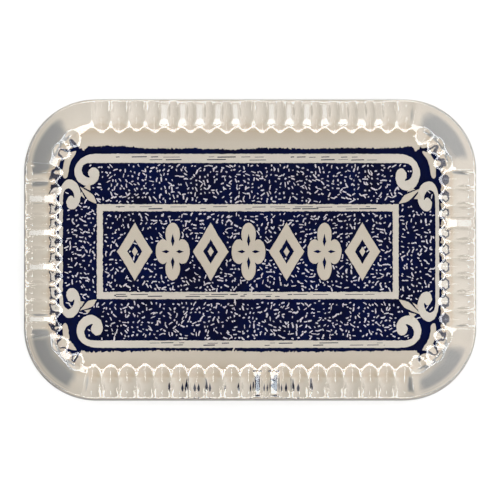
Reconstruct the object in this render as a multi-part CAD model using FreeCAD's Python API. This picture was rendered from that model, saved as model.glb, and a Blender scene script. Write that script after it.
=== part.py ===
import FreeCAD, Part
import math
import os

# Rectangular pressed-glass paperweight: a clear slab with a fluted, rolled-over edge, bonded over a printed
# paper sheet and standing on a felt pad. Millimetres, +Z up, origin at the centre of the underside.

# Outline of the glass
LENGTH = 114.3
WIDTH = 76.2
CORNER_R = 18.4

# Stack under the glass, from the underside up
FELT_T = 1.2
SHEET_T = 0.2
FILM_T = 0.1
FELT_INSET = 1.5
SHEET_INSET = 0.8

# Edge profile of the glass, each point as its inset from the outline and its height over the glass underside:
# the table rolls over into a straight bevel, and the bevel rolls over into the wall.
GLASS_T = 16.0
FOOT_CHAMFER = 0.5
TABLE_EDGE = (8.3, GLASS_T)
TABLE_ROLL = (6.7, 15.88)
BEVEL_TOP = (4.9, 15.46)
BEVEL_FOOT = (2.0, 14.05)
WALL_ROLL = (1.0, 12.61)
WALL_TOP = (0.6, 10.9)

# Concave flutes, each cut by a quarter ring: the ring's inner circle is the floor of the flute, and it leaves
# the table at the starting slope.
FLUTE_TUBE_R = 2.1
FLUTE_FLOOR_R = 25.0
FLUTE_START_SLOPE = 15.0
FLUTE_SWEEP = 90.0

# One row of flutes a side: count, pitch, shift of the row's middle, reach of the flutes into the table.
# The sides run anticlockwise from +X, and a shift is measured that way round too.
FLUTE_ROWS = (
    (9, 4.36, 0.0, 9.8),
    (18, 4.47, -0.7, 8.7),
    (10, 4.27, 0.3, 9.9),
    (19, 4.30, -0.5, 9.2),
)

SHEET_Z = FELT_T
FILM_Z = SHEET_Z + SHEET_T
GLASS_Z = FILM_Z + FILM_T

X_AXIS = FreeCAD.Vector(1, 0, 0)
Y_AXIS = FreeCAD.Vector(0, 1, 0)
Z_AXIS = FreeCAD.Vector(0, 0, 1)
ORIGIN = FreeCAD.Vector(0, 0, 0)


def rounded_slab(inset, z0, thickness):
    """Flat rounded rectangle, the glass outline moved inward by inset."""
    half_x = LENGTH / 2 - inset
    half_y = WIDTH / 2 - inset
    r = CORNER_R - inset
    slab = Part.makeBox(2 * half_x, 2 * (half_y - r), thickness, FreeCAD.Vector(-half_x, r - half_y, z0))
    cross = Part.makeBox(2 * (half_x - r), 2 * half_y, thickness, FreeCAD.Vector(r - half_x, -half_y, z0))
    slab = slab.fuse(cross)
    for sx in (-1, 1):
        for sy in (-1, 1):
            base = FreeCAD.Vector(sx * (half_x - r), sy * (half_y - r), z0)
            slab = slab.fuse(Part.makeCylinder(r, thickness, base))
    return slab.removeSplitter()


def edge_face():
    """Half section of the glass, standing in the XZ plane with X measured outward from a corner's centre."""

    def at(s, height):
        return FreeCAD.Vector(CORNER_R - s, 0, GLASS_Z + height)

    foot = at(FOOT_CHAMFER, 0)
    heel = at(0, FOOT_CHAMFER)
    axis_top = at(CORNER_R, GLASS_T)
    axis_foot = at(CORNER_R, 0)
    edges = [
        Part.makeLine(axis_foot, foot),
        Part.makeLine(foot, heel),
        Part.makeLine(heel, at(*WALL_TOP)),
        Part.Arc(at(*WALL_TOP), at(*WALL_ROLL), at(*BEVEL_FOOT)).toShape(),
        Part.makeLine(at(*BEVEL_FOOT), at(*BEVEL_TOP)),
        Part.Arc(at(*BEVEL_TOP), at(*TABLE_ROLL), at(*TABLE_EDGE)).toShape(),
        Part.makeLine(at(*TABLE_EDGE), axis_top),
        Part.makeLine(axis_top, axis_foot),
    ]
    return Part.Face(Part.Wire(edges))


def glass_blank():
    """The slab before fluting: four turned corners, four straight sides and the core between them."""
    half_x = LENGTH / 2 - CORNER_R
    half_y = WIDTH / 2 - CORNER_R
    section = edge_face()
    base = FreeCAD.Vector(-half_x, -half_y, GLASS_Z)
    blank = Part.makeBox(2 * half_x, 2 * half_y, GLASS_T, base)
    corners = ((half_x, half_y), (-half_x, half_y), (-half_x, -half_y), (half_x, -half_y))
    runs = (2 * half_y, 2 * half_x, 2 * half_y, 2 * half_x)
    for quarter in range(4):
        turned = section.copy()
        turned.rotate(ORIGIN, Z_AXIS, 90 * quarter)
        cx, cy = corners[quarter]
        turned.translate(FreeCAD.Vector(cx, cy, 0))
        corner = turned.revolve(FreeCAD.Vector(cx, cy, 0), Z_AXIS, 90)
        along = FreeCAD.Vector(0, -runs[quarter], 0)
        along = FreeCAD.Rotation(Z_AXIS, 90 * quarter).multVec(along)
        side = turned.extrude(along)
        blank = blank.fuse([corner, side])
    return blank.removeSplitter()


def flute_cutter(reach):
    """Quarter ring that cuts one flute into the +X side, with the flute's middle at Y = 0."""
    slope = math.radians(FLUTE_START_SLOPE)
    centre_s = reach + FLUTE_FLOOR_R * math.sin(slope)
    centre_height = GLASS_T - FLUTE_FLOOR_R * math.cos(slope)
    centre = FreeCAD.Vector(LENGTH / 2 - centre_s, 0, GLASS_Z + centre_height)
    tube_centre = centre + FreeCAD.Vector(FLUTE_FLOOR_R + FLUTE_TUBE_R, 0, 0)
    tube = Part.Face(Part.Wire(Part.makeCircle(FLUTE_TUBE_R, tube_centre, Z_AXIS)))
    return tube.revolve(centre, FreeCAD.Vector(0, -1, 0), FLUTE_SWEEP)


def flute_cutters():
    """All the cutters: a row along each of the four sides."""
    cutters = []
    for quarter in range(4):
        count, pitch, shift, reach = FLUTE_ROWS[quarter]
        outward = (WIDTH - LENGTH) / 2 if quarter % 2 else 0
        for i in range(count):
            cutter = flute_cutter(reach)
            along = shift + (i - (count - 1) / 2) * pitch
            cutter.translate(FreeCAD.Vector(outward, along, 0))
            cutter.rotate(ORIGIN, Z_AXIS, 90 * quarter)
            cutters.append(cutter)
    return cutters


def glass_block():
    return glass_blank().cut(flute_cutters()).removeSplitter()


parts = {
    "felt_pad": rounded_slab(FELT_INSET, 0, FELT_T),
    "print_sheet": rounded_slab(SHEET_INSET, SHEET_Z, SHEET_T),
    "glue_film": rounded_slab(SHEET_INSET, FILM_Z, FILM_T),
    "glass_block": glass_block(),
}

os.makedirs("parts", exist_ok=True)
for name, shape in parts.items():
    shape.exportStep("parts/" + name + ".step")
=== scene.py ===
import math
from collections import namedtuple

import bpy
import numpy as np
from mathutils import Matrix, Vector
from mathutils.geometry import delaunay_2d_cdt


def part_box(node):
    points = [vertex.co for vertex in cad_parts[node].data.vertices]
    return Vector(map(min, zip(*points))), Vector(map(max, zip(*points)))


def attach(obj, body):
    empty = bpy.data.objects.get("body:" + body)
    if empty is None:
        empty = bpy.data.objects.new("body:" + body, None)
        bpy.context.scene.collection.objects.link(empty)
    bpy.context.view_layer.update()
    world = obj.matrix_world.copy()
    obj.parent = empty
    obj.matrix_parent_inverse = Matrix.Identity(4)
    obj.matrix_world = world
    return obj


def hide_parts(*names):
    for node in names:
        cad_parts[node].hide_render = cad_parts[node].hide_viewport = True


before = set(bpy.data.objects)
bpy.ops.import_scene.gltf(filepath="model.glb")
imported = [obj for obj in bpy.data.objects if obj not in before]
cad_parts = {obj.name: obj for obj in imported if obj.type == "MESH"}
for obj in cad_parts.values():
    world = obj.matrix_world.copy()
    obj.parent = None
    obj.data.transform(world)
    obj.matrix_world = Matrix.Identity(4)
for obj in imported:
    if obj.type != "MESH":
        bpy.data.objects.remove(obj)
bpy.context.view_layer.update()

MM = 0.001

# ---------------- dimensions of the edge, in millimetres
# An inset is a distance inward from the outline of the glass.
glass_lo, glass_hi = (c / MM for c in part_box("glass_block"))
sheet_lo, sheet_hi = (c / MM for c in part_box("print_sheet"))
felt_lo, felt_hi = (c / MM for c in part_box("felt_pad"))
HALF_X = glass_hi.x
HALF_Y = glass_hi.y
CORNER_R = 18.4
GLASS_T = glass_hi.z - glass_lo.z
SHEET_INSET = HALF_X - sheet_hi.x
FELT_INSET = HALF_X - felt_hi.x

# The unfluted edge rolls over from the table at one inset and reaches the wall at another. Between them it
# falls away with these slopes in degrees at these insets, along the sides and in the corners.
ROLL_START, WALL_START = 8.3, 0.6
RIDGE_SLOPES = ((ROLL_START, 0), (7.7, 3), (7.3, 6), (6.4, 8), (5.6, 11), (4.9, 23), (2.0, 29), (1.65, 44),
                (1.25, 58), (0.9, 72), (WALL_START, 86.5))
CORNER_SLOPES = ((ROLL_START, 0), (7.3, 1), (6.9, 13), (5.0, 24), (2.0, 30), (1.3, 50), (0.75, 75),
                 (WALL_START, 86.5))
# A corner's own slopes start this far round from the sides, and take over in this much, in radians.
CORNER_CHANGE_START, CORNER_CHANGE = 0.04, 0.2
# Changes to the edge fade out over this width above the wall.
WALL_FADE = 1.0
FOOT_R = 0.5

# A flute's floor starts in the table, at its reach, and further out lies parallel to the ridges.
FLUTE_START = ((0.0, 15), (-0.9, 16), (-2.4, 18))
FLUTE_SLOPES = ((5.9, 21), (5.2, 30), (4.6, 33), (1.3, 35), (1.05, 45), (0.88, 58), (0.72, 76),
                (WALL_START, 86))
# A flute steps down from the table along an arch: how far the arch falls back beside the flute, how far on
# the step has run into the round groove, and how steeply the arch falls back further out.
ARCH_RISE, ARCH_RUN, ARCH_FALL = 1.4, 0.9, 3.0
# The share of a groove's radius within which it is round, and how steeply it leaves the glass beyond
GROOVE_ROUND, GROOVE_SIDE = 0.96, 1.5
# The inset where a flute has its full depth, and the least depth that its groove's radius is worked out for
FULL_DEPTH_AT, LEAST_DEPTH = 3.5, 0.05
# How flutes differ: standard deviations of their place and of the depth of their floor
FLUTE_STRAYS, FLOOR_VARIES = 0.09, 0.03
# Count, pitch, shift of the row's middle and reach into the table: the sides run anticlockwise from +X.
FLUTE_ROWS = ((9, 4.36, 0.0, 9.8), (18, 4.47, -0.7, 8.7), (10, 4.27, 0.3, 9.9), (19, 4.30, -0.5, 9.2))

# Ridges that lie flat enough to catch the strip lights, counted along each side: the rest lean a few degrees.
FLAT_RIDGES = ((6,), (2, 3, 4, 5, 6, 7, 8, 10, 11, 12, 13, 14), (2, 4, 6, 9), (10, 11))
# Width of the land between two grooves, where the ridge is flat and where it is sharp, how much that varies,
# and how much wider it gets between two distances out from the flutes' reach
LAND = {True: 1.9, False: 0.3}
LAND_VARIES = (0.85, 1.15)
LAND_EXTRA, LAND_WIDENS = 1.3, (3.2, 1.4)
# Slopes at which the ridges lean: all a little at random, a sharp one a good deal more, and on each side so
# much for each millimetre from its middle
FLAT_LEAN, SHARP_LEAN = 0.004, (0.06, 0.11)
LEAN_ALONG = (0.0, -0.0005, 0.0, 0.0005)
# Half width of the lean, how far out from the table it is complete, and where it fades above the wall
LEAN_HALF_WIDTH, LEAN_GROWS, LEAN_FADE_AT, LEAN_FADE = 0.9, 1.5, 0.5, 0.5

# Short flutes round the corners, in degrees on from the side before: +X to +Y, +Y to -X, -X to -Y, -Y to +X
CORNER_FLUTES = ((12, 39, 63), (36, 61), (25.5, 60), (18.6, 48.7, 76.6))
CORNER_REACH, CORNER_SPREAD = 10.9, 3.9
CORNER_TUBE_R, CORNER_TUBE_VARIES = 2.2, (0.95, 1.1)
# Further in than this inset a corner flute keeps its width.
CORNER_TAPER_END = 12
# A corner flute runs out between these two insets, ending this high over the bevel, which stays smooth.
CORNER_RUN_OUT, RUN_OUT_HEIGHT = (5.9, 8.3), 0.4

# The sharp edges of the flutes are rounded by the first amount on the bevel and by the second on the table.
EDGE_ROUNDING = (0.09, 0.2)
ROUNDING_GROWS_AT, ROUNDING_GROWS = 6.2, 1.2

# The inset where the table starts to slope a little, on each side and in the corners' middle, the slope in
# degrees, the insets between which it dies out, and how softly it starts
TABLE_EDGE, CORNER_TABLE_EDGE = (8.8, 7.4, 8.9, 7.9), 9.6
TABLE_SLOPE = 6.5
RIM_DIES_OUT, RIM_SOFTNESS = (7.2, 8.0), 0.2

# The underside steps down to the paper between these distances in from its rim, and is pressed in this deep.
GLUE_STEP = (-0.04, 0.06)
PRESSED_IN = 0.01

# ---------------- fineness of the meshes
# Steps round the outline, for each millimetre of side and for each corner
GLASS_STEPS, FELT_STEPS, GLUE_STEPS = (4.2, 44), (2.5, 44), (1.6, 30)
# Insets of the glass mesh's innermost ring and of the ends of its closer rings, and their spacing
TABLE_RINGS = (12.8, 11.9, 8.4, 0.18)
PROFILE_STEP, FLOOR_STEP, CORNER_STEP = 0.175, 0.004, 0.05
WALL_RINGS, FOOT_RINGS = 5, 4
# The stretch of the bevel, as insets, that is smooth enough for a coarser mesh, and how much coarser
SMOOTH_BEVEL, SMOOTH_FACTOR = (2.3, 4.6), 2
NEAR = 1e-5
# Stands for a distance or an angle at outline stations that aren't on the row or in the corner
FAR = 1e6
# The rows run on round the corners, where distance along them is measured this far in.
ROW_INSET = 4

rng = np.random.default_rng(7)


# ---------------- helpers
def mesh_object(name, verts, faces, smooth=True):
    mesh = bpy.data.meshes.new(name)
    mesh.from_pydata([tuple(float(c) * MM for c in v) for v in verts], [], faces)
    mesh.update()
    if smooth:
        mesh.polygons.foreach_set("use_smooth", [True] * len(mesh.polygons))
    obj = bpy.data.objects.new(name, mesh)
    bpy.context.scene.collection.objects.link(obj)
    return obj


def closed_rings(rings, name, cap=False):
    """Joins rings of the same number of points into one closed skin: a tube, or with caps a slab."""
    n = len(rings[0])
    count = len(rings)
    verts = np.vstack(rings)
    faces = []
    for i in range(count - 1 if cap else count):
        below = (i + 1) % count
        for j in range(n):
            k = (j + 1) % n
            faces.append((i * n + j, below * n + j, below * n + k, i * n + k))
    if cap:
        faces.append(tuple(range(n)))
        faces.append(tuple((count - 1) * n + j for j in reversed(range(n))))
    return mesh_object(name, verts, faces)


def share(value, whole):
    """How much of the whole a value is, from 0 to 1."""
    return np.clip(value / whole, 0, 1)


def smooth_noise(t, waves, seed):
    """Smooth noise about 1 in size that repeats once round, made of the given wave counts."""
    local = np.random.default_rng(seed)
    out = np.zeros(len(t))
    for w in waves:
        out += local.normal() * np.sin(w * t + local.uniform(0, 2 * math.pi))
    return out / math.sqrt(len(waves) / 2)


def row_of_four(known):
    """One value for each side or corner: the known ones, and FAR for the others."""
    return [known.get(i, FAR) for i in range(4)]


def outline_stations(steps_per_mm, corner_steps):
    """Points round the glass outline, anticlockwise from the start of the +X side.

    Returns the outline points, their outward normals, for each of the four sides the distance
    along it, which runs on round the corners at each end, and for each corner the angle round it.
    """
    half = (HALF_Y - CORNER_R, HALF_X - CORNER_R)
    stations = []
    for side in range(4):
        turn = side * math.pi / 2
        out = np.array([math.cos(turn), math.sin(turn)])
        fwd = np.array([-math.sin(turn), math.cos(turn)])
        reach = HALF_X if side % 2 == 0 else HALF_Y
        run = half[side % 2]
        count = int(round(2 * run * steps_per_mm))
        for i in range(count):
            a = -run + 2 * run * i / count
            stations.append((out * reach + fwd * a, out, row_of_four({side: a}), row_of_four({})))
        centre = out * (reach - CORNER_R) + fwd * run
        next_side = (side + 1) % 4
        for i in range(corner_steps):
            t = math.pi / 2 * i / corner_steps
            n = out * math.cos(t) + fwd * math.sin(t)
            past = run + (CORNER_R - ROW_INSET) * t
            before = -half[next_side % 2] - (CORNER_R - ROW_INSET) * (math.pi / 2 - t)
            along = row_of_four({side: past, next_side: before})
            stations.append((centre + n * CORNER_R, n, along, row_of_four({side: t})))
    return [np.array(column) for column in zip(*stations)]


# ---------------- the glass
def fall(slopes, start_s, start_z, step):
    """Runs down a line whose slope changes steadily between the given insets: inset, height and slope."""
    at = np.array([r[0] for r in slopes])
    deg = np.array([r[1] for r in slopes], float)
    rows = [(start_s, start_z, deg[0])]
    s, z = start_s, start_z
    while s > at[-1] + NEAR:
        a = math.radians(np.interp(-s, -at, deg))
        stride = step * (SMOOTH_FACTOR if SMOOTH_BEVEL[0] < s < SMOOTH_BEVEL[1] else 1)
        s_next = max(s - stride * math.cos(a), at[-1])
        z -= (s - s_next) * math.tan(a)
        s = s_next
        rows.append((s, z, np.interp(-s, -at, deg)))
    return rows


def edge_profile():
    """The unfluted edge from the table down to the foot: inset and height, and the outward normal."""
    innermost, first, end, spacing = TABLE_RINGS
    rows = [(s, GLASS_T, 0.0) for s in np.concatenate([[innermost], np.arange(first, end, -spacing)])]
    rows += fall(RIDGE_SLOPES, ROLL_START, GLASS_T, PROFILE_STEP)
    out = [(s, z, -math.sin(math.radians(a)), math.cos(math.radians(a))) for s, z, a in rows]
    top_s, top_z, _ = rows[-1]
    lean = math.radians(rows[-1][2])
    for k in np.linspace(0, 1, WALL_RINGS + 1)[1:]:
        out.append((top_s * (1 - k), top_z + (FOOT_R - top_z) * k, -math.sin(lean), math.cos(lean)))
    for a in np.linspace(0, math.pi / 2, FOOT_RINGS + 1)[1:]:
        out.append((FOOT_R - FOOT_R * math.cos(a), FOOT_R - FOOT_R * math.sin(a), -math.cos(a), -math.sin(a)))
    return np.array(out)


def depth_below(profile, reach):
    """How far a flute's floor lies under the unfluted edge, square to the floor: less than 0 above it."""
    slopes = [(reach + s, a) for s, a in FLUTE_START] + list(FLUTE_SLOPES)
    above = 3.0
    rise = above * math.tan(math.radians(slopes[0][1]))
    line = np.array(fall(slopes, reach + above, GLASS_T + rise, FLOOR_STEP))
    line_s, line_z = line[:, 0], line[:, 1]
    s, z = profile[:, 0], profile[:, 1]
    apart = np.hypot(s[:, None] - line_s[None, :], z[:, None] - line_z[None, :])
    under = z > np.interp(s, line_s[::-1], line_z[::-1])
    return np.where(under, 1.0, -1.0) * apart.min(axis=1)


def flute(profile, floor, reach, across, spread, tube):
    """How deep one flute is pressed in: an arched step down from the table that runs into a round groove."""
    s = profile[:, 0][:, None]
    half = np.sqrt(np.maximum(tube ** 2 - across ** 2, 1e-6))
    groove = floor[:, None] - np.where(across < GROOVE_ROUND * tube, tube - half, across * GROOVE_SIDE)
    beside = np.minimum(across, spread / 2)
    back = ARCH_RISE * np.sin(math.pi * beside / spread) ** 2 + ARCH_FALL * (across - beside)
    order = np.argsort(profile[:, 0])
    step = np.interp(s + back, profile[order, 0], floor[order])
    return groove + (step - groove) * np.clip(1 - (reach - ARCH_RISE - s) / ARCH_RUN, 0, 1)


def press_side_flutes(depth, profile, along, side):
    """The depths with one side's row of flutes pressed in as well."""
    count, pitch, shift, reach = FLUTE_ROWS[side]
    s = profile[:, 0][:, None]
    floor = depth_below(profile, reach)
    nominal = float(np.interp(-FULL_DEPTH_AT, -s[:, 0], floor))
    deep = np.where(s > FULL_DEPTH_AT, np.clip(floor[:, None], LEAST_DEPTH, nominal), nominal)
    extra = LAND_EXTRA * share(s - reach + LAND_WIDENS[0], LAND_WIDENS[0] - LAND_WIDENS[1])
    for i in range(count):
        off = along[:, side] - (shift + (i - (count - 1) / 2) * pitch + rng.normal(0, FLUTE_STRAYS))
        across = np.broadcast_to(np.abs(off)[None, :], depth.shape)
        before, after = (LAND[k in FLAT_RIDGES[side]] * rng.uniform(*LAND_VARIES) for k in (i, i + 1))
        half = (pitch - np.where(off < 0, before, after)[None, :] - extra) / 2
        tube = (half ** 2 + deep ** 2) / (2 * deep)
        pressed = flute(profile, floor + rng.normal(0, FLOOR_VARIES), reach, across, pitch, tube)
        depth = np.maximum(depth, pressed)
    return depth


def lean_ridges(lean, profile, along, side):
    """The leans with those of one side's ridges added."""
    count, pitch, shift, _ = FLUTE_ROWS[side]
    s = profile[:, 0][:, None]
    outward = share(ROLL_START - s, LEAN_GROWS) * share(s - LEAN_FADE_AT, LEAN_FADE)
    for i in range(count + 1):
        middle = shift + (i - count / 2) * pitch
        u = along[:, side] - middle
        tilt = rng.normal(0, FLAT_LEAN) + middle * LEAN_ALONG[side]
        if i not in FLAT_RIDGES[side]:
            tilt += rng.choice((-1, 1)) * rng.uniform(*SHARP_LEAN)
        lean = lean + tilt * outward * (u * np.exp(-(u / LEAN_HALF_WIDTH) ** 2))
    return lean


def press_corner_flutes(depth, profile, round_corner):
    """The depths with the short flutes of the corners pressed in as well."""
    s = profile[:, 0][:, None]
    kept = share(profile[:, 0] - CORNER_RUN_OUT[0], CORNER_RUN_OUT[1] - CORNER_RUN_OUT[0])
    kept = kept * kept * (3 - 2 * kept)
    floor = depth_below(profile, CORNER_REACH) * kept - RUN_OUT_HEIGHT * (1 - kept)
    radius = CORNER_R - np.minimum(s, CORNER_TAPER_END)
    for corner, angles in enumerate(CORNER_FLUTES):
        for angle in angles:
            across = radius * np.abs(round_corner[:, corner] - math.radians(angle))[None, :]
            tube = CORNER_TUBE_R * rng.uniform(*CORNER_TUBE_VARIES)
            pressed = flute(profile, floor, CORNER_REACH, across, CORNER_SPREAD, tube)
            depth = np.maximum(depth, pressed)
    return depth


def flute_depth(profile, along, round_corner):
    """How far each point of the edge is pressed in, for all profile rows and outline stations."""
    depth = np.full((len(profile), len(along)), -9.0)
    lean = np.zeros_like(depth)
    for side in range(4):
        depth = press_side_flutes(depth, profile, along, side)
        lean = lean_ridges(lean, profile, along, side)
    depth = press_corner_flutes(depth, profile, round_corner)
    sharp, soft = EDGE_ROUNDING
    blend = sharp + (soft - sharp) * share(profile[:, 0][:, None] - ROUNDING_GROWS_AT, ROUNDING_GROWS)
    h = np.maximum(blend - np.abs(depth), 0) / blend
    return np.maximum(depth, 0) + h * h * blend / 4 + lean


def table_edges(along, round_corner):
    """The inset where the table starts to slope, at each outline station."""
    edges = []
    for row, corner in zip(along, round_corner):
        if corner.min() == FAR:
            edges.append(TABLE_EDGE[int(np.argmin(row))])
            continue
        side = int(np.argmin(corner))
        before, after = TABLE_EDGE[side], TABLE_EDGE[(side + 1) % 4]
        base = before + (after - before) * corner[side] / (math.pi / 2)
        edges.append(base + (CORNER_TABLE_EDGE - base) * math.sin(2 * corner[side]))
    return np.array(edges)


def table_drop(s, edge):
    """How far the table's sloping rim has dropped. It starts softly and ends where the edge rolls over."""
    low, high = RIM_DIES_OUT

    def run(at):
        return np.where(at > high, at - (low + high) / 2, np.maximum(at - low, 0) ** 2 / (2 * (high - low)))

    past = np.maximum(edge - s, 0)
    sloped = run(edge) - run(np.minimum(s, edge))
    return math.tan(math.radians(TABLE_SLOPE)) * sloped * past / (past + RIM_SOFTNESS)


def corner_change(s, z, round_corner):
    """How much higher the unfluted edge lies in the corners, where it has slopes of its own."""
    line = np.array(fall(CORNER_SLOPES, ROLL_START, GLASS_T, CORNER_STEP))
    other = np.interp(s, line[::-1, 0], line[::-1, 1]) - z
    other *= share(s - WALL_START, WALL_FADE) * (s < ROLL_START)
    angle = round_corner.min(axis=1)
    from_side = np.minimum(angle, math.pi / 2 - angle)
    return other[:, None] * share(from_side - CORNER_CHANGE_START, CORNER_CHANGE)[None, :]


def glass_mesh():
    """The slab, from the table over the fluted edge down to the foot and in along the underside."""
    points, normals, along, round_corner = outline_stations(*GLASS_STEPS)
    profile = edge_profile()
    s, z, normal_s, normal_z = profile.T
    depth = flute_depth(profile, along, round_corner)
    insets = s[:, None] - depth * normal_s[:, None]
    heights = z[:, None] + corner_change(s, z, round_corner) - depth * normal_z[:, None] + glass_lo.z
    rim = table_drop(s[:, None], table_edges(along, round_corner)[None, :])
    heights -= rim * share(s - WALL_START, WALL_FADE)[:, None]
    rings = [np.column_stack([points - normals * a[:, None], b]) for a, b in zip(insets, heights)]
    for step, height in zip(GLUE_STEP, (glass_lo.z, sheet_hi.z - PRESSED_IN)):
        ring = points - normals * (SHEET_INSET + step)
        rings.append(np.column_stack([ring, np.full(len(points), height)]))
    return closed_rings(rings, "glass_slab", cap=True)


# ---------------- the print, in millimetres
PRINT_CX = -0.4
# The print is drawn a little large, and brought to its size at the end.
PRINT_SCALE = 0.995
BAND_TOP = (24.25, 21.95)
BAND_BOTTOM = (-24.85, -23.0)
# inner edge of the side band, its outer edge, and the outer edge of the rule beside it
SIDES = {-1: (-47.4, -48.35, -48.8), 1: (46.9, 47.85, 48.35)}
PANEL = (-38.8, 37.6, -12.5, 11.5)
PANEL_LINE = (1.5, 1.8)
PAPER, INK, FLECK, BAND = range(4)

# The rule round the print: how far its level stretches go to each side, its outline round the two corners on
# the left, where its upright stretches end, and how far the level ones stand out, bow and waver
RULE_TOP_HALF, RULE_BOTTOM_HALF = 41.0, 41.5
RULE_STEPS = 60
RULE_TOP_OUT, RULE_TOP_BOW, RULE_TOP_WAVERS = 1.3, 0.6, ((0.14, 3.1), (0.1, 7.3))
RULE_BOTTOM_OUT, RULE_BOTTOM_WAVER = 0.85, (0.12, 9)
RULE_EAR = ((-42.2, 24.95), (-43.5, 26.0), (-45.6, 25.6), (-47.2, 24.3), (-48.2, 22.1), (-48.7, 19.5))
RULE_FOOT = ((-48.7, -20.0), (-48.1, -22.8), (-46.9, -25.0), (-45.2, -26.2), (-43.3, -26.6), (-42.6, -25.4))
RULE_UPRIGHT = (16.0, -16.5)
# A small blank patch outside a scroll, in the upper right corner
PATCH = ((44.0, 24.9), (45.6, 24.6), (46.6, 23.4), (47.3, 21.2), (47.4, 18.8), (46.9, 18.0), (46.2, 18.6),
         (45.9, 20.6), (45.4, 22.4), (44.5, 23.8))

# One scroll: where a band ends in a curl. u runs back along the band from the scroll's tip, v across it.
SCROLL = (
    (5.5, 0.0), (3.5, 0.3), (1.6, 1.35), (0.35, 3.0), (0.0, 4.75), (0.7, 6.65), (2.1, 7.8), (3.6, 8.05),
    (5.15, 7.45), (6.15, 6.15), (6.25, 4.65), (5.65, 3.7), (4.6, 3.45), (3.65, 4.2), (3.45, 5.2), (3.95, 6.0),
    (3.0, 5.85), (2.2, 5.15), (1.85, 4.1), (2.2, 3.0), (3.1, 2.45), (4.5, 2.3),
)
SCROLL_BAND = 2.3
UPRIGHT_STRETCH = (1.2, 0.78)
# Signs of x and y, tip of the level scroll, its stretch along and across the band, tip of the upright scroll
Corner = namedtuple("Corner", "sx sy tip stretch_u stretch_v upright")
CORNERS = (
    Corner(-1, 1, -44.5, 1.00, 1.00, 17.75),
    Corner(1, 1, 43.0, 0.98, 1.22, 17.30),
    Corner(-1, -1, -43.9, 1.05, 1.12, -17.30),
    Corner(1, -1, 43.3, 1.00, 1.10, -18.20),
)
# A leaf: half widths along it, and its barbs as side, start and end along it, and how far out they point
LEAF = ((0.0, 0.05), (0.2, 0.35), (0.45, 0.7), (0.65, 0.85), (0.82, 0.55), (1.0, 0.05))
LEAF_BARBS = ((1, 0.12, 0.42, 2.4), (-1, 0.18, 0.5, 1.6))
LEAF_ROOT_X = 43.0

# The row of devices: how many, their pitch, the height of their middle and the outlines they are made of
ROW_COUNT, ROW_PITCH, ROW_Y = 7, 9.6, -0.5
LOZENGE = ((0, 7.4), (2.2, 3.6), (4.5, 0), (2.2, -3.6), (0, -7.4), (-2.2, -3.6), (-4.5, 0), (-2.2, 3.6))
FLOWER_SIZE, FLOWER_STEPS = (4.3, 7.3), 72
FLOWER_WAIST, FLOWER_ROUNDNESS = 0.52, 0.7
SLIT = ((0.0, 1.3), (0.45, 2.6), (0.0, 4.6), (-0.45, 2.6))
SLIT_NARROWING = 0.62
# Middles of the plain lozenges in the lower margin, and their half size
MARGIN_MARKS_X, MARGIN_MARKS_Y, MARGIN_MARK = (-15.4, -12.1, 1.9, 6.5, 11.4), -32.1, 1.3

# Worn streaks of ink along the bands and the panel's line: ends, heights and chance of each
HAIRLINES = (
    (-34, 34, (23.45, 22.75), 0.65),
    (-30, 34, (-23.6, -24.15), 0.45),
    (-34, 32, (PANEL[3] - 0.65, PANEL[3] - 1.15), 0.5),
    (-34, 32, (PANEL[2] + 0.65, PANEL[2] + 1.15), 0.5),
)

# Stipple: one fleck at most to a square cell, moved by up to the jitter, where it and the points about it are
# on ink, but not in the frame's corners
CELL, JITTER = 1.12, 0.42
STIPPLE_Y = (-22.7, 21.7)
FLECK_KEPT = 0.86
# Least length and the most that is added to it, and least and greatest width
FLECK_LENGTH, FLECK_WIDTH = (0.42, 0.95), (0.24, 0.42)
FLECK_CORNERS = (43.2, 15.5)
ABOUT = ((0, 0), (0.45, 0), (-0.45, 0), (0, 0.45), (0, -0.45))
FLECK_OUTLINE = ((-0.5, 0.0), (-0.42, 0.4), (0.05, 0.5), (0.42, 0.42), (0.5, 0.0), (0.4, -0.42), (0.0, -0.5),
                 (-0.4, -0.4))

# The outlines of the print as (kind, points), a later one over the earlier ones
shapes = []


def catmull_rom(a, b, c, d, steps):
    """Points from b on towards c, on the Catmull-Rom curve through a, b, c and d."""
    out = []
    for k in range(steps):
        t = k / steps
        out.append(0.5 * (2 * b + (c - a) * t + (2 * a - 5 * b + 4 * c - d) * t * t
                          + (3 * b - 3 * c + d - a) * t ** 3))
    return out


def closed_curve(points, steps):
    p = np.array(points, float)
    n = len(p)
    out = []
    for i in range(n):
        out += catmull_rom(p[i - 1], p[i], p[(i + 1) % n], p[(i + 2) % n], steps)
    return np.array(out)


def open_curve(points, steps):
    p = np.array(points, float)
    p = np.vstack([2 * p[0] - p[1], p, 2 * p[-1] - p[-2]])
    out = []
    for i in range(1, len(p) - 2):
        out += catmull_rom(p[i - 1], p[i], p[i + 1], p[i + 2], steps)
    out.append(p[-2])
    return np.array(out)


def rough(points, step, size):
    """Redraws a closed outline with points every step and pushes them about, as a worn block prints it."""
    p = np.array(points, float)
    q = np.roll(p, -1, axis=0)
    out = []
    for a, b in zip(p, q):
        length = np.hypot(*(b - a))
        count = max(1, int(round(length / step)))
        for k in range(count):
            out.append(a + (b - a) * k / count)
    out = np.array(out)
    out += rng.normal(0, size, out.shape)
    return out


def draw(kind, points, step=0.0, size=0.0):
    """Adds a closed outline to the print, roughened if a step is given."""
    shapes.append((kind, rough(points, step, size) if step else np.array(points, float)))


def rect(x0, x1, y0, y1):
    return [(x0, y0), (x1, y0), (x1, y1), (x0, y1)]


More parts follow.
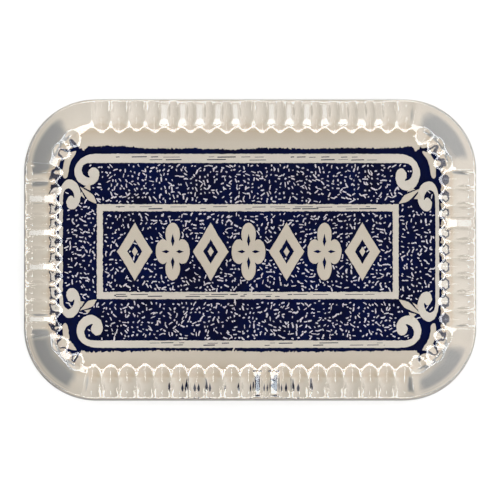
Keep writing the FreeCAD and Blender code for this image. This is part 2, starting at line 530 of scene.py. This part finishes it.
def draw_solid():
    """The rule and everything inside it, printed solid."""
    loop = []
    for x in np.linspace(RULE_TOP_HALF, -RULE_TOP_HALF, RULE_STEPS):
        y = BAND_TOP[0] + RULE_TOP_OUT + RULE_TOP_BOW * (x / RULE_TOP_HALF) ** 2
        for size, length in RULE_TOP_WAVERS:
            y += size * math.sin(x / length)
        loop.append((x, y))
    high, low = RULE_UPRIGHT
    loop += list(RULE_EAR) + [(SIDES[-1][2], high), (SIDES[-1][2], low)] + list(RULE_FOOT)
    size, length = RULE_BOTTOM_WAVER
    for x in np.linspace(-RULE_BOTTOM_HALF, RULE_BOTTOM_HALF, RULE_STEPS):
        loop.append((x, BAND_BOTTOM[0] - RULE_BOTTOM_OUT - size * math.sin(x / length)))
    loop += [(PRINT_CX - x, y) for x, y in reversed(RULE_FOOT)]
    loop += [(SIDES[1][2], low), (SIDES[1][2], high)]
    loop += [(PRINT_CX - x, y) for x, y in reversed(RULE_EAR)]
    draw(INK, loop, 0.3, 0.14)


def draw_patches():
    """The small blank patches left in the corners, outside the scrolls."""
    for sx, shift in ((-1, 0.0), (1, PRINT_CX)):
        draw(PAPER, closed_curve([(sx * x + shift, y) for x, y in PATCH], 3), 0.5, 0.05)
        draw(PAPER, closed_curve([(sx * x + shift, -y - 0.6) for x, y in PATCH], 3), 0.5, 0.05)


def scroll_points(stretch_u, stretch_v, band):
    """The scroll's outline with its curl stretched, and its band brought to the given width."""
    out = []
    for u, v in SCROLL:
        v = v * band / SCROLL_BAND if v <= SCROLL_BAND else band + (v - SCROLL_BAND) * stretch_v
        out.append((u * stretch_u, v))
    return out


def place(points, x, y, sx, sy, upright=False):
    """Puts scroll points (u, v) at a corner, on the level band or standing on the side band."""
    if upright:
        return [(x + sx * v, y + sy * u) for u, v in points]
    return [(x + sx * u, y + sy * v) for u, v in points]


def draw_band(start, end):
    """One band of the frame, whose outline runs round the scroll at its start and the one at its end."""
    draw(BAND, np.vstack([open_curve(start, 4), open_curve(end, 4)[::-1]]), 0.5, 0.035)


def draw_bands():
    """The frame's two level bands, then its two upright ones."""
    for sy, (outer, inner) in ((1, BAND_TOP), (-1, BAND_BOTTOM)):
        left, right = (c for c in CORNERS if c.sy == sy)
        band = abs(outer - inner)
        start = scroll_points(left.stretch_u, left.stretch_v, band)
        end = scroll_points(right.stretch_u, right.stretch_v, band)
        draw_band(place(start, left.tip, outer, 1, -sy), place(end, right.tip, outer, -1, -sy))
    for sx, (inner, outer, _) in SIDES.items():
        upper, lower = (c for c in CORNERS if c.sx == sx)
        scroll = scroll_points(*UPRIGHT_STRETCH, abs(outer - inner))
        start = place(scroll, outer, upper.upright, -sx, -1, True)
        draw_band(start, place(scroll, outer, lower.upright, -sx, 1, True))


def draw_leaf(corner):
    """A barbed leaf that runs from between a corner's scrolls to the panel's corner."""
    x = PANEL[0] if corner.sx < 0 else PANEL[1]
    y = PANEL[3] if corner.sy > 0 else PANEL[2]
    tip = np.array([x, y]) + np.array([corner.sx * 0.1, corner.sy * 0.2])
    root = np.array([corner.sx * LEAF_ROOT_X, corner.upright - corner.sy * 1.9])
    axis = tip - root
    across = np.array([-axis[1], axis[0]]) / np.hypot(*axis)
    loop = [root + axis * k + across * w for k, w in LEAF]
    loop += [root + axis * k - across * w for k, w in reversed(LEAF)]
    draw(PAPER, closed_curve(loop, 3), 0.4, 0.03)
    for side, start, end, out in LEAF_BARBS:
        a = root + axis * start + across * side * 0.55
        b = root + axis * end + across * side * 1.25
        c = root + axis * (start + 0.05) + across * side * out
        draw(PAPER, [a, b, c], 0.4, 0.03)


def draw_panel():
    """The panel's line, with two small blots of ink on it."""
    x0, x1, y0, y1 = PANEL
    wx, wy = PANEL_LINE
    draw(BAND, rect(x0, x1, y0, y1), 0.4, 0.05)
    draw(INK, rect(x0 + wx, x1 - wx, y0 + wy, y1 - wy), 0.4, 0.06)
    for x, y in ((-34.2, y0 + 0.9), (-33.2, y1 - 0.7)):
        draw(INK, [(x - 0.3, y), (x, y - 0.22), (x + 0.3, y), (x, y + 0.22)])


def draw_nick():
    """A slanting nick in the lower rule."""
    low = BAND_BOTTOM[0] - 1.15
    draw(BAND, [(-4.75, low), (-4.4, low), (-3.85, BAND_BOTTOM[0]), (-4.2, BAND_BOTTOM[0])])


def draw_frame():
    draw_solid()
    draw_patches()
    draw_bands()
    for corner in CORNERS:
        draw_leaf(corner)
    draw_panel()
    draw_nick()


def draw_lozenge(cx, cy):
    """A pierced lozenge with hollow sides: its outline, the hole and the core in the hole."""
    for kind, scale, step, size in ((PAPER, 1, 0.5, 0.03), (INK, 0.42, 0.5, 0.03), (PAPER, 0.17, 0.4, 0.02)):
        draw(kind, [(cx + x * scale, cy + y * scale) for x, y in LOZENGE], step, size)


def draw_flower(cx, cy):
    """A flower of four petals, each with a slit along it."""
    half_x, half_y = FLOWER_SIZE
    loop = []
    for t in np.linspace(0, 2 * math.pi, FLOWER_STEPS, endpoint=False):
        r = FLOWER_WAIST + (1 - FLOWER_WAIST) * abs(math.cos(2 * t)) ** FLOWER_ROUNDNESS
        loop.append((cx + half_x * r * math.cos(t), cy + half_y * r * math.sin(t)))
    draw(PAPER, loop, 0.6, 0.03)
    for x, y in ((0, 1), (0, -1), (1, 0), (-1, 0)):
        scale = 1.0 if y else SLIT_NARROWING
        slit = [(cx + (u * abs(y) + v * x) * scale, cy + (v * y + u * abs(x))) for u, v in SLIT]
        draw(INK, slit, 0.4, 0.02)


def draw_row():
    """The row of devices in the panel, lozenges and flowers in turn."""
    for i in range(ROW_COUNT):
        device = draw_flower if i % 2 else draw_lozenge
        device(PRINT_CX + (i - ROW_COUNT // 2) * ROW_PITCH, ROW_Y)


def draw_margin_marks():
    """Five small plain lozenges in the lower margin, under the flutes."""
    for x in MARGIN_MARKS_X:
        half, y = MARGIN_MARK, MARGIN_MARKS_Y
        draw(INK, [(x - half, y), (x, y - half), (x + half, y), (x, y + half)], 0.4, 0.03)


def draw_hairline(x0, x1, y, chance):
    """A row of short worn streaks of ink."""
    x = x0
    while x < x1:
        run = rng.uniform(0.8, 5.0)
        if rng.random() < chance:
            half = rng.uniform(0.06, 0.16)
            end = min(x + run, x1)
            shift = rng.normal(0, 0.03)
            draw(INK, [(x, y - half + shift), (end, y - half * 0.6 + shift), (end, y + half + shift),
                       (x, y + half * 0.6 + shift)])
        x += run + rng.uniform(0.3, 1.5)


def draw_hairlines():
    for x0, x1, heights, chance in HAIRLINES:
        for y in heights:
            draw_hairline(x0, x1, y, chance)


def flow(x, y):
    """Direction in which the stipple leans, which swirls slowly over the field."""
    return 1.2 * math.sin(x * 0.21 + 1.3 * math.sin(y * 0.3)) + 1.6 * math.cos(y * 0.27 - x * 0.11)


def draw_fleck(x, y, length, width, angle):
    """One bent, uneven fleck of bare paper."""
    bend = rng.normal(0, 0.22)
    c, s = math.cos(angle), math.sin(angle)
    out = []
    for u, v in FLECK_OUTLINE:
        u = u * length * rng.uniform(0.88, 1.12)
        v = v * width * rng.uniform(0.8, 1.2) + bend * (u * u) / max(length, 0.3)
        out.append((x + u * c - v * s, y + u * s + v * c))
    draw(FLECK, out)


def inside(points, x, y):
    """Whether (x, y) is inside a closed outline."""
    px, py = points[:, 0], points[:, 1]
    qx, qy = np.roll(px, -1), np.roll(py, -1)
    cross = (py > y) != (qy > y)
    at = (qx - px) * (y - py) / np.where(qy == py, 1e-9, qy - py) + px
    return bool(np.sum(cross & (x < at)) % 2)


def kind_at(drawn, boxes, x, y):
    """What is printed at a point: the kind of the last outline round it."""
    hit = np.nonzero((boxes[:, 0] <= x) & (boxes[:, 1] >= x) & (boxes[:, 2] <= y) & (boxes[:, 3] >= y))[0]
    for i in hit[::-1]:
        if inside(drawn[i][1], x, y):
            return drawn[i][0]
    return PAPER


def draw_stipple():
    """Flecks of bare paper all over the ink inside the frame."""
    drawn = list(shapes)
    boxes = np.array([(p[:, 0].min(), p[:, 0].max(), p[:, 1].min(), p[:, 1].max()) for _, p in drawn])
    y = STIPPLE_Y[0]
    while y < STIPPLE_Y[1]:
        x = SIDES[-1][0]
        while x < SIDES[1][0]:
            fx = x + rng.uniform(-JITTER, JITTER)
            fy = y + rng.uniform(-JITTER, JITTER)
            length = FLECK_LENGTH[0] + FLECK_LENGTH[1] * rng.random() ** 1.6
            width = rng.uniform(*FLECK_WIDTH)
            angle = flow(fx, fy) + rng.normal(0, 0.7)
            in_corner = abs(fx - PRINT_CX) > FLECK_CORNERS[0] and abs(fy) > FLECK_CORNERS[1]
            keep = rng.random() < FLECK_KEPT and not in_corner
            if keep and all(kind_at(drawn, boxes, fx + ox, fy + oy) == INK for ox, oy in ABOUT):
                draw_fleck(fx, fy, length, width, angle)
            x += CELL
        y += CELL


def area_of(loop):
    x, y = loop[:, 0], loop[:, 1]
    return 0.5 * float(np.sum(x * np.roll(y, -1) - np.roll(x, -1) * y))


def rounded_rect_points(half_x, half_y, r, steps=20):
    out = []
    for k, (sx, sy) in enumerate(((1, 1), (-1, 1), (-1, -1), (1, -1))):
        for i in range(steps + 1):
            t = math.pi / 2 * (k + i / steps)
            out.append((sx * (half_x - r) + r * math.cos(t), sy * (half_y - r) + r * math.sin(t)))
    return np.array(out)


def divide_along(loops, kinds):
    """Divides the face inside the loops along all of them: points, faces, and the last kind round each."""
    coords, outlines, at = [], [], 0
    for loop in loops:
        if area_of(loop) < 0:
            loop = loop[::-1]
        coords.extend(Vector((float(x), float(y))) for x, y in loop)
        outlines.append(list(range(at, at + len(loop))))
        at += len(loop)
    points, _, pieces, _, _, sources = delaunay_2d_cdt(coords, [], outlines, 1, NEAR)
    lows = [loop.min(axis=0) for loop in loops]
    highs = [loop.max(axis=0) for loop in loops]
    faces, face_kinds = [], []
    for piece, source in zip(pieces, sources):
        mid = sum((points[i] for i in piece), Vector((0.0, 0.0))) / len(piece)
        over = [i for i in source if lows[i][0] < mid.x < highs[i][0] and lows[i][1] < mid.y < highs[i][1]]
        if over:
            faces.append(tuple(piece))
            face_kinds.append(kinds[max(over)])
    return points, faces, face_kinds


def rim_of(faces):
    """The points along the outer edge of the faces, in order."""
    used = {}
    for f in faces:
        for a, b in zip(f, f[1:] + f[:1]):
            key = (min(a, b), max(a, b))
            used[key] = None if key in used else (a, b)
    after = {e[0]: e[1] for e in used.values() if e}
    start = next(iter(after))
    ring, v = [start], after[start]
    while v != start:
        ring.append(v)
        v = after[v]
    return ring


def print_mesh():
    """The sheet: its upper face is divided along the print's outlines, so ink and paper are both faces."""
    edge = rounded_rect_points(HALF_X - SHEET_INSET, HALF_Y - SHEET_INSET, CORNER_R - SHEET_INSET)
    loops = [edge] + [points * PRINT_SCALE for _, points in shapes]
    points, faces, kinds = divide_along(loops, [PAPER] + [kind for kind, _ in shapes])
    ring = rim_of(faces)
    verts = [(p.x, p.y, sheet_hi.z) for p in points] + [(points[v].x, points[v].y, sheet_lo.z) for v in ring]
    base = len(points)
    for i in range(len(ring)):
        k = (i + 1) % len(ring)
        faces.append((ring[i], base + i, base + k, ring[k]))
    faces.append(tuple(base + i for i in reversed(range(len(ring)))))
    kinds += [PAPER] * (len(ring) + 1)
    obj = mesh_object("print_paper", verts, faces, smooth=False)
    obj.data.polygons.foreach_set("material_index", kinds)
    return obj


# ---------------- the glue and the felt, in millimetres
# The glue ends this far under the glass and starts this far above the paper's foot.
GLUE_UNDER_GLASS, GLUE_OVER_FOOT = 0.004, 0.05


def glue_bead():
    """The glue that shows round the paper's edge: a thin, uneven fillet in the corner under the glass."""
    points, normals, _, _ = outline_stations(*GLUE_STEPS)
    n = len(points)
    t = np.arange(n) / n * 2 * math.pi
    uneven = smooth_noise(t, range(5, 60, 4), 3)
    top, low = glass_lo.z - GLUE_UNDER_GLASS, sheet_lo.z + GLUE_OVER_FOOT
    section = (
        # out from the paper's rim, how much that varies, height, and how much the height varies
        (0.005, 0.0, low, 0.02),
        (0.005, 0.0, top, 0.0),
        (0.2, 0.04, top, 0.0),
        (0.1, 0.02, (top + low) / 2 + 0.02, 0.0),
    )
    rings = []
    for out, out_varies, height, height_varies in section:
        inset = SHEET_INSET - out - out_varies * uneven
        rings.append(np.column_stack([points - normals * inset[:, None], height - height_varies * uneven]))
    return closed_rings(rings, "glue_bead")


# The felt's cut edge from the top down: how far in from its outline, share of its thickness, and how frayed.
# Its underside goes on in rings, as shares of the glass outline. The outermost lie past the cut edge, which
# leaves a thin lip at the felt's foot.
FELT_EDGE = ((0.12, 1.0, 0.0), (0.05, 0.82, 0.04), (0.0, 0.55, 0.07), (0.03, 0.3, 0.07), (0.12, 0.08, 0.05))
FELT_RINGS = (0.985, 0.965, 0.94, 0.91, 0.87, 0.82, 0.75, 0.66, 0.55, 0.42, 0.28, 0.14)
FELT_MATTING = 0.02


def felt_mesh():
    """The felt pad: a thin slab whose cut edge is frayed and whose underside is slightly matted."""
    points, normals, _, _ = outline_stations(*FELT_STEPS)
    n = len(points)
    local = np.random.default_rng(11)
    thick = felt_hi.z - felt_lo.z
    rings = []
    for inset, height, fray in FELT_EDGE:
        edge = points - normals * (FELT_INSET + inset + np.abs(local.normal(0, fray, n)))[:, None]
        lift = local.normal(0, FELT_MATTING if height < 1 else 0.0, n)
        rings.append(np.column_stack([edge, felt_lo.z + thick * height + lift]))
    for shrink in FELT_RINGS:
        matted = felt_lo.z + np.abs(local.normal(0, FELT_MATTING, n))
        rings.append(np.column_stack([points * shrink, matted]))
    return closed_rings(rings, "felt_base", cap=True)


# ---------------- nodes
def feed(node, values):
    """Gives a node's inputs, by name or number, plain values or what other nodes put out."""
    for key, value in values.items():
        if isinstance(value, bpy.types.NodeSocket):
            node.id_data.links.new(value, node.inputs[key])
        else:
            node.inputs[key].default_value = value


def calc(tree, operation, *inputs, clamp=False):
    """The result of a Math node."""
    node = tree.nodes.new("ShaderNodeMath")
    node.operation = operation
    node.use_clamp = clamp
    feed(node, dict(enumerate(inputs)))
    return node.outputs["Value"]


def mixed(tree, blend_type, factor, a, b):
    """Two colours mixed."""
    node = tree.nodes.new("ShaderNodeMix")
    node.data_type = "RGBA"
    node.blend_type = blend_type
    feed(node, {"Factor": factor, "A": a, "B": b})
    return node.outputs["Result"]


def scaled(tree, colour, scale):
    """A colour times a number."""
    node = tree.nodes.new("ShaderNodeVectorMath")
    node.operation = "SCALE"
    feed(node, {0: colour, "Scale": scale})
    return node.outputs["Vector"]


def smooth_step(tree, value, start, end):
    """0 at start, 1 at end, and smooth between them."""
    node = tree.nodes.new("ShaderNodeMapRange")
    node.interpolation_type = "SMOOTHSTEP"
    low, high = sorted((start, end))
    rising = float(start < end)
    feed(node, {"Value": value, "From Min": low, "From Max": high, "To Min": 1 - rising, "To Max": rising})
    return node.outputs["Result"]


def noise(tree, scale, detail=4.0, roughness=0.6):
    coord = tree.nodes.new("ShaderNodeTexCoord").outputs["Object"]
    node = tree.nodes.new("ShaderNodeTexNoise")
    feed(node, {"Vector": coord, "Scale": scale, "Detail": detail, "Roughness": roughness})
    return node.outputs["Fac"]


def ramp(tree, value, stops):
    """A colour for each value, between stops of position and colour."""
    node = tree.nodes.new("ShaderNodeValToRGB")
    elements = node.color_ramp.elements
    while len(elements) < len(stops):
        elements.new(0.5)
    for element, (position, colour) in zip(elements, stops):
        element.position = position
        element.color = (*colour, 1)
    feed(node, {"Fac": value})
    return node.outputs["Color"]


def roughen(tree, bsdf, height, strength, distance):
    """Gives a surface bumps from a height map, as high as the distance in metres at full strength."""
    node = tree.nodes.new("ShaderNodeBump")
    feed(node, {"Height": height, "Strength": strength, "Distance": distance})
    feed(bsdf, {"Normal": node.outputs["Normal"]})


# ---------------- materials
def material(name, values):
    """A new material, its node tree, and its Principled shader with the given values set."""
    mat = bpy.data.materials.new(name)
    mat.use_nodes = True
    bsdf = mat.node_tree.nodes["Principled BSDF"]
    feed(bsdf, values)
    return mat, mat.node_tree, bsdf


def glass_material():
    mat, _, _ = material("clear_glass", {
        "Base Color": (0.985, 0.992, 0.99, 1), "Roughness": 0.0, "IOR": 1.52, "Transmission Weight": 1.0,
    })
    return mat


def mottled(name, dark, light, scale, roughness, bump=0.0, gloss=0.0):
    """A surface that varies between two colours."""
    mat, tree, bsdf = material(name, {"Roughness": roughness, "Specular IOR Level": gloss})
    feed(bsdf, {"Base Color": ramp(tree, noise(tree, scale), ((0.3, dark), (0.7, light)))})
    if bump:
        roughen(tree, bsdf, noise(tree, scale * 6), bump, 0.0001)
    return mat


def felt_material():
    """Dark green felt: mottled wool with pale fibres and a fuzzy surface."""
    mat, tree, bsdf = material("felt", {"Roughness": 0.95, "Specular IOR Level": 0.2})
    wool = ramp(tree, noise(tree, 500), ((0.35, (0.008, 0.024, 0.017)), (0.65, (0.026, 0.055, 0.04))))
    fibres = noise(tree, 2600, 2.0, 0.8)
    pale = ramp(tree, fibres, ((0.62, (0, 0, 0)), (0.72, (0.05, 0.08, 0.065))))
    feed(bsdf, {"Base Color": mixed(tree, "ADD", 1.0, wool, pale)})
    roughen(tree, bsdf, fibres, 0.8, 0.0002)
    return mat


# Painted shade: the grey stretch of each corner, where the glass's rounded corner shades the paper. In
# degrees: its middle from the X side, how far each is turned, and where it fades out on either side of its
# middle
GREY_MIDDLE, GREY_TURN, GREY_ENDS = 38, 6.5, (34, 22)
# The insets between which it fades towards the rim and inward, and how ragged it is inward
GREY_OUTER, GREY_INNER, GREY_RAGGED = (4.0, 5.2), (8.6, 6.8), 4
# the colour of the painted shade in the corners
CORNER_SHADE_GREY = (0.3, 0.295, 0.285, 1)
# Painted shade along the margin, darkest just inside the table's edge: insets and what the paper's colour is
# multiplied by, and the colour ramp's length
MARGIN_SHADE_STOPS = ((7.2, (1, 1, 1)), (8.3, (0.88, 0.8, 0.7)), (8.8, (0.9, 0.85, 0.8)), (11.2, (0.94, 0.93, 0.92)))
RAMP_INSET = 20.0


def paper_material():
    """Cream paper with painted shade: grey in its corners under the glass's rounded corners, and a darker
    brownish band along the margin under the table's edge.
    """
    mat, tree, bsdf = material("cream_paper", {"Roughness": 0.7, "Specular IOR Level": 0.0})
    cream = ramp(tree, noise(tree, 60), ((0.3, (0.675, 0.6, 0.5)), (0.7, (0.725, 0.65, 0.55))))
    coord = tree.nodes.new("ShaderNodeTexCoord")
    split = tree.nodes.new("ShaderNodeSeparateXYZ")
    feed(split, {"Vector": coord.outputs["Object"]})
    x, y = split.outputs["X"], split.outputs["Y"]

    def m(operation, *inputs):
        return calc(tree, operation, *inputs)

    # distances past the corner's centre, and from them the inset, in metres
    dx = m("SUBTRACT", m("ABSOLUTE", x), (HALF_X - CORNER_R) * MM)
    dy = m("SUBTRACT", m("ABSOLUTE", y), (HALF_Y - CORNER_R) * MM)
    u, v = m("MAXIMUM", dx, 0.0), m("MAXIMUM", dy, 0.0)
    length = m("SQRT", m("ADD", m("MULTIPLY", u, u), m("MULTIPLY", v, v)))
    inset = m("SUBTRACT", CORNER_R * MM, m("ADD", length, m("MINIMUM", m("MAXIMUM", dx, dy), 0.0)))

    # the painted corner shade, a grey stretch whose middle is turned one way or the other in each corner
    turn = m("MULTIPLY", m("SUBTRACT", m("SIGN", x), m("SIGN", y)), math.radians(GREY_TURN))
    middle = m("ADD", math.radians(GREY_MIDDLE), turn)
    off = m("ABSOLUTE", m("SUBTRACT", m("ARCTAN2", dy, dx), middle))
    wobble = m("MULTIPLY", m("SUBTRACT", noise(tree, 130, 2.0), 0.5), 0.5)
    ends = smooth_step(tree, m("ADD", off, wobble), *(math.radians(a) for a in GREY_ENDS))
    outer = smooth_step(tree, inset, *(a * MM for a in GREY_OUTER))
    ragged = m("ADD", inset, m("MULTIPLY", wobble, GREY_RAGGED * MM))
    inner = smooth_step(tree, ragged, *(a * MM for a in GREY_INNER))
    # painted shade: the corners' grey mixed over the cream
    corner_shaded = mixed(tree, "MIX", m("MULTIPLY", m("MULTIPLY", ends, outer), inner), cream, CORNER_SHADE_GREY)

    # painted shade along the margin, darkest just inside the table's edge
    stops = [(at / RAMP_INSET, colour) for at, colour in MARGIN_SHADE_STOPS]
    margin_shade = ramp(tree, m("MULTIPLY", inset, 1 / (RAMP_INSET * MM)), stops)
    feed(bsdf, {"Base Color": mixed(tree, "MULTIPLY", 1.0, corner_shaded, margin_shade)})
    return mat


# ---------------- the pieces
glass = glass_mesh()
glass.data.materials.append(glass_material())
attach(glass, "root")
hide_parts("glass_block")

draw_frame()
draw_row()
draw_margin_marks()
draw_stipple()
draw_hairlines()
paper = print_mesh()
# in the order of PAPER, INK, FLECK and BAND
paper.data.materials.append(paper_material())
paper.data.materials.append(mottled("navy_ink", (0.0035, 0.004, 0.018), (0.0012, 0.005, 0.044), 90, 0.7))
paper.data.materials.append(mottled("paper_flecks", (0.64, 0.59, 0.62), (0.76, 0.72, 0.77), 200, 0.7))
paper.data.materials.append(mottled("band_paper", (0.68, 0.62, 0.54), (0.73, 0.67, 0.59), 60, 0.7))
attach(paper, "root")
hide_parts("print_sheet")

bead = glue_bead()
bead.data.materials.append(mottled("dried_glue", (0.62, 0.5, 0.3), (0.78, 0.68, 0.46), 300, 0.25, 0.3, 0.5))
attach(bead, "root")
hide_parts("glue_film")

felt = felt_mesh()
felt.data.materials.append(felt_material())
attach(felt, "root")
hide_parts("felt_pad")


# ---------------- stage, light and camera, in metres
FLOOR_HALF = 3.0
FLOOR_Z = -0.00005

# Radiance by height, as degrees from straight up and colours, and its level. The even fill is what lights
# the object and is seen through the glass. The softbox and the room are seen only as a shine.
BLACK = (0, 0, 0)
SOFTBOX = (0.9, 0.92, 0.95)
HORIZON = (0.6, 0.59, 0.58)
ROOM = (0.25, 0.24, 0.235)
FLOOR_SHINE = (0.06, 0.06, 0.06)
FILL_SKY = ((0, (0.49, 0.49, 0.49)), (90, (0.42, 0.42, 0.42)), (180, (0.42, 0.42, 0.42)))
FILL_LEVEL = 3.0
SOFTBOX_SKY = ((0, BLACK), (7.5, BLACK), (9.5, SOFTBOX), (22, SOFTBOX), (25, BLACK), (99, BLACK),
               (102, HORIZON), (114, HORIZON), (118, BLACK), (180, BLACK))
SOFTBOX_LEVEL = 13.0
ROOM_SKY = ((0, (0.003, 0.003, 0.004)), (6, (0.005, 0.005, 0.006)), (25, ROOM), (85, ROOM),
            (100, FLOOR_SHINE), (148, FLOOR_SHINE), (162, (0.04, 0.04, 0.04)), (180, (0.03, 0.03, 0.03)))
ROOM_LEVEL = 9.0
# The room is brighter towards +X and +Y.
ROOM_LEAN = (0.95, 0.35)

# Strip lights: name, X, Y and radiance
STRIPS = (
    ("strip_back", 0.0, 0.6, 4.6),
    ("strip_front", 0.0, -0.6, 11.0),
    ("strip_left", -0.6, 0.0, 6.0),
    ("strip_right", 0.6, 0.0, 5.0),
)
STRIP_HEIGHT = 0.9
STRIP_SIZE = (0.075, 1.17)
STRIP_COLOUR = (0.82, 0.91, 1.0)

# The camera's distance, how far it stands off the vertical each way, and the width it takes in
CAMERA_DISTANCE = 1.0
TILT_X, TILT_Y = math.radians(-0.5), math.radians(-1.0)
SENSOR_WIDTH = 36
VIEW_WIDTH = 0.1266


def make_floor():
    """The pale floor, which doesn't show in the object's shine."""
    half = FLOOR_HALF / MM
    corners = [(x, y, 0) for x, y in rect(-half, half, -half, half)]
    floor = mesh_object("floor", corners, [(0, 1, 2, 3)], smooth=False)
    mat, _, _ = material("floor", {"Base Color": (0.95, 0.95, 0.95, 1), "Roughness": 0.9})
    floor.data.materials.append(mat)
    floor.location.z = FLOOR_Z
    floor.visible_glossy = False
    return floor


def make_studio():
    """The surroundings, whose shine differs from what lights the object and shows through the glass."""
    world = bpy.data.worlds.new("studio")
    bpy.context.scene.world = world
    world.use_nodes = True
    tree = world.node_tree
    coord = tree.nodes.new("ShaderNodeTexCoord")
    split = tree.nodes.new("ShaderNodeSeparateXYZ")
    feed(split, {"Vector": coord.outputs["Generated"]})
    from_up = calc(tree, "MULTIPLY", calc(tree, "ARCCOSINE", split.outputs["Z"]), 1 / math.pi)

    def sky(stops, level):
        return scaled(tree, ramp(tree, from_up, [(a / 180, colour) for a, colour in stops]), level)

    lean_x = calc(tree, "MULTIPLY_ADD", split.outputs["X"], ROOM_LEAN[0], 1.0)
    lean = calc(tree, "MULTIPLY_ADD", split.outputs["Y"], ROOM_LEAN[1], lean_x)
    shine = tree.nodes.new("ShaderNodeVectorMath")
    shine.operation = "ADD"
    feed(shine, {0: sky(SOFTBOX_SKY, SOFTBOX_LEVEL), 1: scaled(tree, sky(ROOM_SKY, ROOM_LEVEL), lean)})
    ray = tree.nodes.new("ShaderNodeLightPath").outputs
    mirrored = calc(tree, "SUBTRACT", ray["Is Glossy Ray"], ray["Is Transmission Ray"], clamp=True)
    seen = mixed(tree, "MIX", mirrored, sky(FILL_SKY, FILL_LEVEL), shine.outputs["Vector"])
    feed(tree.nodes["Background"], {"Color": seen})


def aimed(obj, location, back, side):
    """Puts a light or a camera at a place, with its back and its right side in the given directions."""
    obj.matrix_world = Matrix((side, back.cross(side), back)).transposed().to_4x4()
    obj.location = location
    bpy.context.scene.collection.objects.link(obj)


def make_strip(name, x, y, radiance):
    """A strip light that is seen only as a shine."""
    data = bpy.data.lights.new(name, "AREA")
    data.shape = "RECTANGLE"
    data.size, data.size_y = STRIP_SIZE
    data.energy = math.pi * STRIP_SIZE[0] * STRIP_SIZE[1] * radiance
    data.color = STRIP_COLOUR
    obj = bpy.data.objects.new(name, data)
    back = Vector((x, y, 0.0)).normalized()
    aimed(obj, (x, y, STRIP_HEIGHT), back, Vector((back.y, -back.x, 0)))
    obj.visible_camera = False
    obj.visible_diffuse = False
    obj.visible_transmission = False


def make_camera():
    """The camera, which looks almost straight down."""
    data = bpy.data.cameras.new("camera")
    camera = bpy.data.objects.new("camera", data)
    back = Vector((math.sin(TILT_X), math.sin(TILT_Y), 1)).normalized()
    aim = Vector((0, 0, glass_lo.z * MM))
    aimed(camera, aim + back * CAMERA_DISTANCE, back, Vector((0, 1, 0)).cross(back).normalized())
    data.sensor_width = SENSOR_WIDTH
    data.lens = SENSOR_WIDTH * CAMERA_DISTANCE / VIEW_WIDTH
    data.clip_start, data.clip_end = 0.05, 20
    return camera


floor = make_floor()
make_studio()
for strip in STRIPS:
    make_strip(*strip)
bpy.context.scene.camera = make_camera()
bpy.context.scene.view_settings.view_transform = "Standard"
